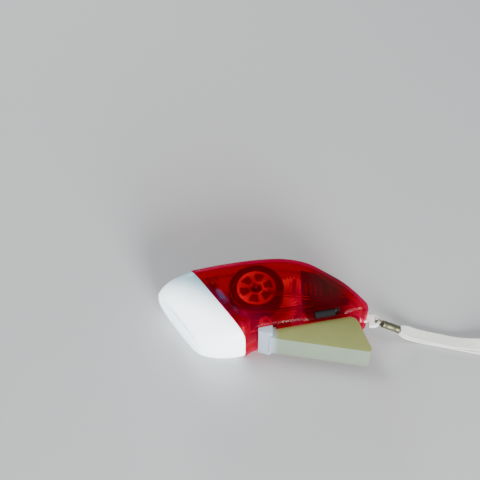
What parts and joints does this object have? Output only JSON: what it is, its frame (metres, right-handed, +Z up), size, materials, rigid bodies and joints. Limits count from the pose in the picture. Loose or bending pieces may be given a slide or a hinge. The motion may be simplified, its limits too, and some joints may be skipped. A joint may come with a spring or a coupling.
{
  "type": "dynamo flashlight",
  "caption": "Pocket torch with a squeeze lever that drives a generator, a transparent curved housing, lamps behind a domed window, a slide switch and a wrist strap.",
  "frame": {"origin": "middle of the resting side, below the middle of the body without its strap", "axes": "+X runs along the body to the strap's end, +Y to the curved spine, +Z up through the thickness from the side it lies on"},
  "size_m": [0.2516, 0.0582, 0.025],
  "materials": {
    "red_shell": "transparent, glossy",
    "ice_white": "satin",
    "clear": "clear, glossy",
    "mirror": "mirrored",
    "lamp": "clear, glossy",
    "board_green": "satin",
    "grey_plastic": "satin",
    "steel": "bright",
    "gear_white": "satin",
    "dark_steel": "blackened",
    "ferrite": "matt",
    "copper": "enamelled copper",
    "black_plastic": "satin",
    "cell_sleeve": "glossy sleeve",
    "diode_glass": "glossy",
    "wire_red": "satin",
    "wire_black": "satin",
    "strap_white": "woven",
    "nickel": "satin"
  },
  "bodies": {
    "torch": {"housing_bottom": "red_shell", "housing_top": "red_shell", "housing_screw_1": "steel", "housing_screw_2": "steel", "housing_screw_3": "steel", "bezel": "ice_white", "lens": "clear", "lamp_board": "board_green", "led_1": "lamp", "led_2": "lamp", "led_3": "lamp", "reflector": "mirror", "lever_pin": "steel", "lever_spring": "steel", "first_shaft": "steel", "second_shaft": "steel", "rotor_shaft": "steel", "lower_pole_plate": "steel", "upper_pole_plate": "steel", "bobbin": "gear_white", "winding": "copper", "circuit_board": "board_green", "diode_1": "diode_glass", "diode_2": "diode_glass", "diode_3": "diode_glass", "diode_4": "diode_glass", "capacitor": "black_plastic", "storage_cell": "cell_sleeve", "switch_body": "steel", "lamp_wire_red": "wire_red", "lamp_wire_black": "wire_black", "coil_wire_1": "copper", "coil_wire_2": "copper", "cell_wire_red": "wire_red", "cell_wire_black": "wire_black", "strap_lug": "strap_white", "strap_pin": "steel", "strap_eye": "nickel", "strap_crimp": "nickel", "wrist_strap": "strap_white"},
    "lever": {"lever": "grey_plastic", "drive_rack": "gear_white", "rack_screw": "steel"},
    "first_gear": {"first_gear": "gear_white"},
    "second_gear": {"second_gear": "gear_white"},
    "rotor": {"flywheel": "dark_steel", "ring_magnet": "ferrite"},
    "switch_slider": {"switch_knob": "black_plastic"}
  },
  "joints": [
    {"name": "rotor_spin", "type": "hinge", "parent": "torch", "child": "rotor", "pos_m": [-0.0028, 0.00837, 0.018], "axis": [0, 0, 1], "range_deg": [-820.7, 0]},
    {"name": "lever_squeeze", "type": "hinge", "parent": "torch", "child": "lever", "pos_m": [0.0015, -0.0098, 0.0125], "axis": [0, 0, 1], "range_deg": [0, 12], "stiffness_Nm_per_rad": 0.15, "springref_deg": -20.05, "deforming": ["lever_spring"]},
    {"name": "first_gear_spin", "type": "hinge", "parent": "torch", "child": "first_gear", "pos_m": [0.01543, 0.01192, 0.0093], "axis": [0, 0, 1], "range_deg": [-91.2, 0]},
    {"name": "second_gear_spin", "type": "hinge", "parent": "torch", "child": "second_gear", "pos_m": [0.00777, 0.00268, 0.0117], "axis": [0, 0, 1], "range_deg": [0, 273.6]},
    {"name": "switch_slide", "type": "slide", "parent": "torch", "child": "switch_slider", "axis": [0.9813, 0.1925, 0], "range_m": [0, 0.004]}
  ],
  "couplings": [
    {"joint": "lever_squeeze", "follows": "rotor_spin", "ratio": -0.01462},
    {"joint": "first_gear_spin", "follows": "rotor_spin", "ratio": 0.11111},
    {"joint": "second_gear_spin", "follows": "rotor_spin", "ratio": -0.33333}
  ]
}
